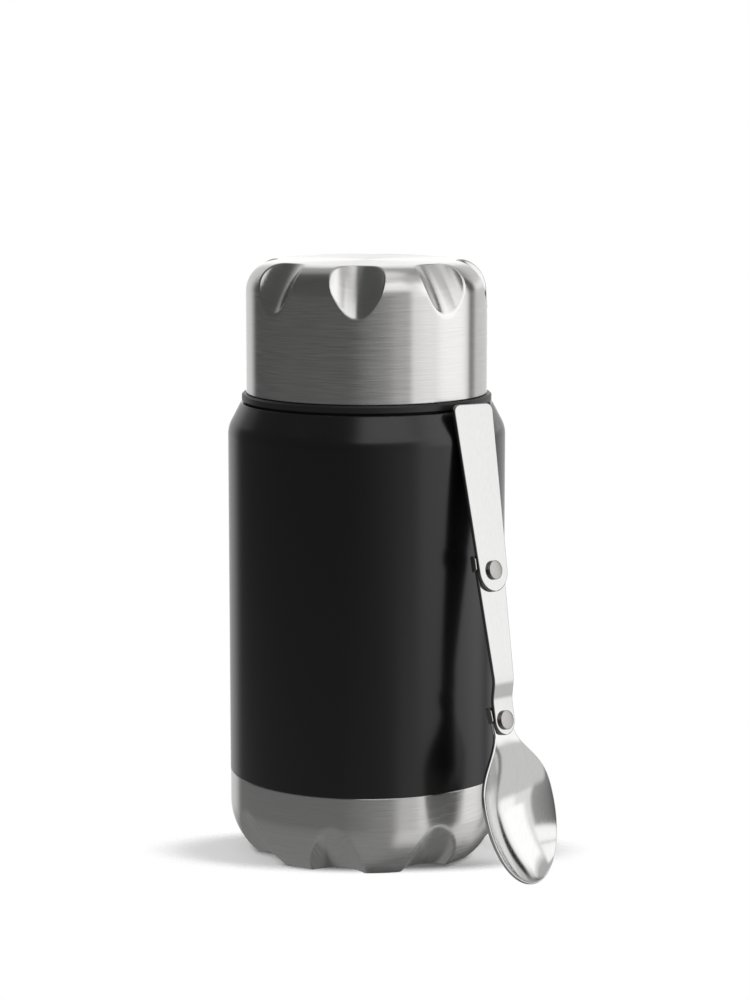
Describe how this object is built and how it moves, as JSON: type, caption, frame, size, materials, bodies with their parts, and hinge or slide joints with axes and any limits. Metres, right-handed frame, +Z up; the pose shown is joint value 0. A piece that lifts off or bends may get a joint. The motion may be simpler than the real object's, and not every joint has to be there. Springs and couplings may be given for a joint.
{
  "type": "insulated food jar",
  "caption": "Vacuum food jar with a fluted screw cap, a vented screw stopper and a folding spoon, for carrying hot or cold meals",
  "frame": {"origin": "centre of the foot ring, on the plane that the jar stands on", "axes": "+Z up along the jar's axis, the front of the jar faces -Y"},
  "size_m": [0.1118, 0.1091, 0.2043],
  "materials": {
    "powder_coat": "satin black powder coat on steel",
    "brushed_steel": "stainless steel, brushed round the axis",
    "vessel_steel": "stainless steel, satin",
    "foil": "bright aluminium foil",
    "plate_steel": "stainless steel sheet, mill finish",
    "braze": "brazing alloy, dull",
    "getter_metal": "sintered getter metal, matt grey",
    "silicone": "silicone rubber, matt dark grey",
    "stopper_plastic": "moulded polypropylene, satin black",
    "cover_plastic": "moulded polypropylene, fine matt",
    "foam": "rigid polyurethane foam",
    "button_plastic": "moulded polypropylene, grey",
    "spring_wire": "stainless spring wire",
    "spoon_steel": "stainless steel, mirror polished",
    "rivet_steel": "stainless steel, satin"
  },
  "bodies": {
    "jar": {"outer_shell": "powder_coat", "base_cup": "brushed_steel", "inner_vessel": "vessel_steel", "foil_wrap": "foil", "vacuum_plate": "plate_steel", "port_seal": "braze", "getter": "getter_metal"},
    "stopper_lift": {"rim_seal": "silicone"},
    "stopper": {"stopper_shell": "stopper_plastic", "stopper_cover": "cover_plastic", "foam_core": "foam", "vent_spring": "spring_wire"},
    "vent": {"vent_button": "button_plastic", "vent_seal": "silicone"},
    "cap_lift": {"cap_gasket": "silicone"},
    "cap": {"cap_shell": "brushed_steel", "cap_liner": "stopper_plastic"},
    "spoon_middle": {"middle_link": "spoon_steel", "lower_rivet": "rivet_steel", "upper_rivet": "rivet_steel"},
    "spoon_bowl": {"spoon_bowl": "spoon_steel"},
    "spoon_end": {"upper_link": "spoon_steel"}
  },
  "joints": [
    {"name": "stopper_rise", "type": "slide", "parent": "jar", "child": "stopper_lift", "axis": [0, 0, 1], "range_m": [0, 0.0321]},
    {"name": "stopper_turn", "type": "hinge", "parent": "stopper_lift", "child": "stopper", "pos_m": [0, 0, 0.1562], "axis": [0, 0, 1], "range_deg": [0, 1440]},
    {"name": "vent_press", "type": "slide", "parent": "stopper", "child": "vent", "axis": [0, 0, -1], "range_m": [0, 0.0015], "stiffness_N_per_m": 400, "springref_m": -0.001, "deforming": ["vent_spring"]},
    {"name": "cap_rise", "type": "slide", "parent": "stopper", "child": "cap_lift", "axis": [0, 0, 1], "range_m": [0, 0.0161]},
    {"name": "cap_turn", "type": "hinge", "parent": "cap_lift", "child": "cap", "pos_m": [0, 0, 0.1591], "axis": [0, 0, 1], "range_deg": [0, 720]},
    {"name": "spoon_take", "type": "slide", "parent": "jar", "child": "spoon_middle", "axis": [0.7431, -0.6691, 0], "range_m": [0, 0.1]},
    {"name": "spoon_fold_bowl", "type": "hinge", "parent": "spoon_middle", "child": "spoon_bowl", "pos_m": [0.04427, -0.04467, 0.0543], "axis": [0.7269, -0.6545, 0.2079], "range_deg": [-7, 173]},
    {"name": "spoon_fold_end", "type": "hinge", "parent": "spoon_middle", "child": "spoon_end", "pos_m": [0.03816, -0.036, 0.10296], "axis": [-0.7269, 0.6545, -0.2079], "range_deg": [0, 180]}
  ],
  "couplings": [
    {"joint": "stopper_rise", "follows": "stopper_turn", "m_per_rad": 0.0012732},
    {"joint": "cap_rise", "follows": "cap_turn", "m_per_rad": 0.0012732}
  ]
}
